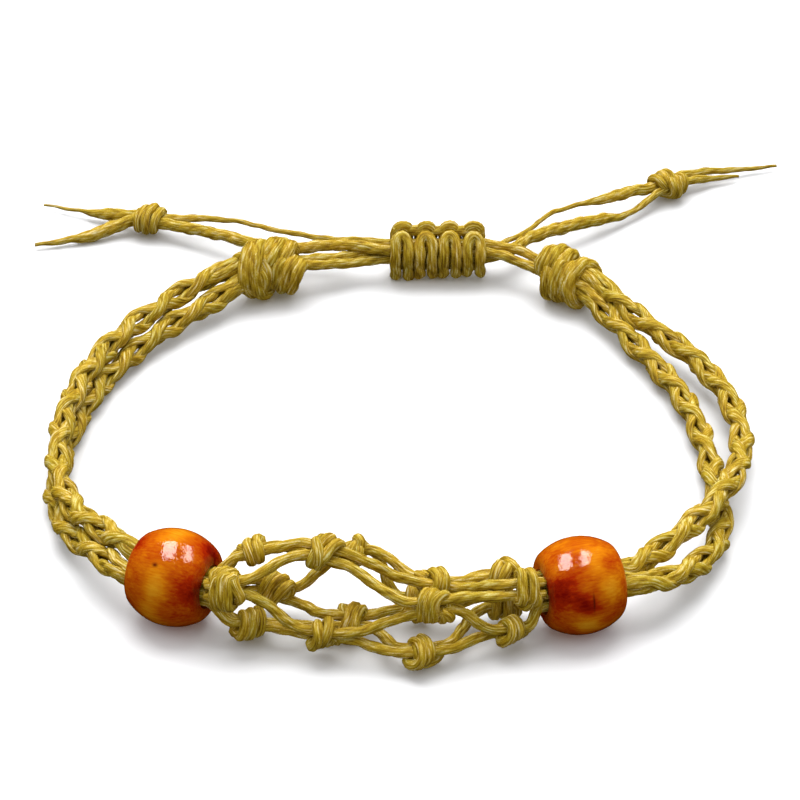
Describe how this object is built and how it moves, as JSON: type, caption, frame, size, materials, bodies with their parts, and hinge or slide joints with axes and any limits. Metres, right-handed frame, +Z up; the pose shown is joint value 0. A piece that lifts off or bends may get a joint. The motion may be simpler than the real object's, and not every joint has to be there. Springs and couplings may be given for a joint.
{
  "type": "cord bracelet",
  "caption": "Adjustable macrame bracelet of plaited waxed cord with an open knotted net pouch between wooden beads and a sliding-knot closure with loose cord ends.",
  "frame": {"origin": "on the surface that the bracelet lies on, under the middle of the loop with its beads and knots, free ends left aside", "axes": "+Z up from the surface, +Y from the net pouch towards the sliding knot, +X to the right as seen from the net's side"},
  "size_m": [0.0734, 0.084, 0.0096],
  "materials": {
    "cord": "twisted waxed cotton, mustard, semi-matt",
    "bead": "stained orange-red wood under a glossy varnish"
  },
  "bodies": {
    "root": {"bead_left": "bead", "bead_right": "bead", "stop_knot_left": "cord", "stop_knot_right": "cord", "sliding_knot": "cord", "end_knot_left": "cord", "end_knot_right": "cord", "braid_left_outer_1": "cord", "braid_left_outer_2": "cord", "braid_left_outer_3": "cord", "braid_left_outer_4": "cord", "braid_left_inner_1": "cord", "braid_left_inner_2": "cord", "braid_left_inner_3": "cord", "braid_left_inner_4": "cord", "braid_right_outer_1": "cord", "braid_right_outer_2": "cord", "braid_right_outer_3": "cord", "braid_right_outer_4": "cord", "braid_right_inner_1": "cord", "braid_right_inner_2": "cord", "braid_right_inner_3": "cord", "braid_right_inner_4": "cord", "net_cord_1": "cord", "net_cord_2": "cord", "net_cord_3": "cord", "net_cord_4": "cord", "net_cord_5": "cord", "net_cord_6": "cord", "net_cord_7": "cord", "net_cord_8": "cord", "net_knot_1_1": "cord", "net_knot_1_2": "cord", "net_knot_1_3": "cord", "net_knot_1_4": "cord", "net_knot_2_1": "cord", "net_knot_2_2": "cord", "net_knot_2_3": "cord", "net_knot_2_4": "cord", "net_knot_3_1": "cord", "net_knot_3_2": "cord", "net_knot_3_3": "cord", "net_knot_3_4": "cord", "net_knot_4_1": "cord", "net_knot_4_2": "cord", "net_knot_4_3": "cord", "net_knot_4_4": "cord", "link_cord_left_1": "cord", "link_cord_left_2": "cord", "link_cord_right_1": "cord", "link_cord_right_2": "cord", "tail_cord_left_1": "cord", "tail_cord_left_2": "cord", "tail_cord_right_1": "cord", "tail_cord_right_2": "cord"}
  },
  "joints": []
}
